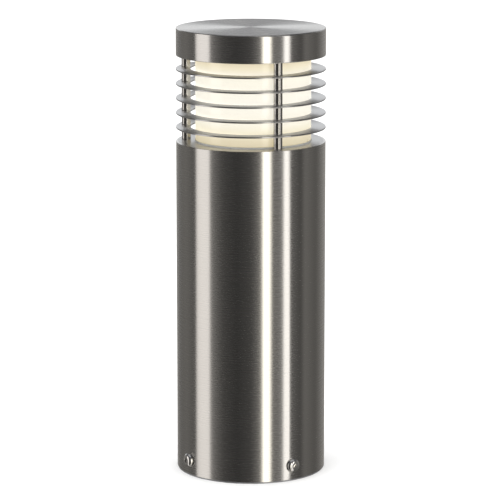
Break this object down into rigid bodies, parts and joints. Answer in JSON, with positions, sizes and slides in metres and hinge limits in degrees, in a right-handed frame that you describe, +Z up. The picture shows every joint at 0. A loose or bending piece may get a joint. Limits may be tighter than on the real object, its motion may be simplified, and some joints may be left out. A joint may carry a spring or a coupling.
{
  "type": "bollard light",
  "caption": "Low round bollard light: brushed steel tube and cap, lit opal diffuser behind a stack of ring fins, screw-in lamp on a bracket, bolted base.",
  "frame": {"origin": "centre of the base's underside, on the axis of the body", "axes": "+Z up along the body, -Y towards the front; the first tie rod stands 24 degrees from the front towards +X"},
  "size_m": [0.1, 0.1, 0.3],
  "materials": {
    "body_steel": "brushed around the tube",
    "plate_steel": "fine ground",
    "cap_steel": "brushed around the wall and across the top",
    "fin_steel": "fine ground",
    "sleeve_steel": "polished",
    "rod_steel": "drawn",
    "plated_steel": "zinc plated",
    "opal_glass": "opal, satin",
    "silicone": "matte",
    "screw_steel": "satin",
    "cast_aluminium": "die cast",
    "gland_plastic": "moulded",
    "seal_rubber": "matte",
    "galvanised_steel": "galvanised",
    "porcelain": "glazed",
    "brass": "bright",
    "lamp_cap_metal": "nickel plated",
    "lamp_insulator_glass": "vitrified",
    "lamp_plastic": "satin",
    "board_white": "matte",
    "lamp_opal": "frosted",
    "terminal_plastic": "moulded",
    "tinned_copper": "tinned",
    "wire_brown": "smooth insulation",
    "wire_blue": "smooth insulation",
    "wire_green": "green with a yellow stripe"
  },
  "bodies": {
    "base": {"mounting_base": "cast_aluminium", "gland_body": "gland_plastic", "gland_seal": "seal_rubber", "gland_nut": "gland_plastic", "lamp_bracket": "galvanised_steel", "bracket_screws": "plated_steel", "holder_body": "porcelain", "holder_shell": "brass", "holder_contact": "brass", "holder_screws": "plated_steel", "terminal_block": "terminal_plastic", "terminal_tubes": "brass", "terminal_screws": "plated_steel", "terminal_block_screws": "plated_steel", "earth_lug": "tinned_copper", "earth_screw": "plated_steel", "wire_live": "wire_brown", "wire_neutral": "wire_blue", "wire_earth": "wire_green"},
    "housing": {"body_tube": "body_steel", "top_plate": "plate_steel", "lower_gasket": "silicone", "diffuser": "opal_glass", "upper_gasket": "silicone", "louvre_fin_1": "fin_steel", "louvre_fin_2": "fin_steel", "louvre_fin_3": "fin_steel", "louvre_fin_4": "fin_steel", "louvre_fin_5": "fin_steel", "spacer_sleeves_1": "sleeve_steel", "spacer_sleeves_2": "sleeve_steel", "spacer_sleeves_3": "sleeve_steel", "spacer_sleeves_4": "sleeve_steel", "spacer_sleeves_5": "sleeve_steel", "spacer_sleeves_6": "sleeve_steel", "tie_rods": "rod_steel", "rod_washers": "plated_steel", "rod_nuts": "plated_steel", "cap": "cap_steel", "cap_bosses": "rod_steel", "clamp_nuts": "plated_steel"},
    "lamp": {"lamp_contact": "lamp_cap_metal", "lamp_insulator": "lamp_insulator_glass", "lamp_cap": "lamp_cap_metal", "lamp_housing": "lamp_plastic", "led_board": "board_white", "lamp_globe": "lamp_opal"},
    "side_screw_1": {"side_screw_1": "screw_steel"},
    "side_screw_2": {"side_screw_2": "screw_steel"},
    "side_screw_3": {"side_screw_3": "screw_steel"},
    "side_screw_4": {"side_screw_4": "screw_steel"}
  },
  "joints": [
    {"name": "housing_lift", "type": "slide", "parent": "base", "child": "housing", "axis": [0, 0, 1], "range_m": [0, 0.3]},
    {"name": "lamp_turn", "type": "hinge", "parent": "base", "child": "lamp", "pos_m": [0, 0, 0.18], "axis": [0, 0, 1], "range_deg": [0, 1080]},
    {"name": "side_screw_1_out", "type": "slide", "parent": "housing", "child": "side_screw_1", "axis": [0.5592, -0.829, 0], "range_m": [0, 0.012]},
    {"name": "side_screw_2_out", "type": "slide", "parent": "housing", "child": "side_screw_2", "axis": [0.829, 0.5592, 0], "range_m": [0, 0.012]},
    {"name": "side_screw_3_out", "type": "slide", "parent": "housing", "child": "side_screw_3", "axis": [-0.5592, 0.829, 0], "range_m": [0, 0.012]},
    {"name": "side_screw_4_out", "type": "slide", "parent": "housing", "child": "side_screw_4", "axis": [-0.829, -0.5592, 0], "range_m": [0, 0.012]}
  ]
}
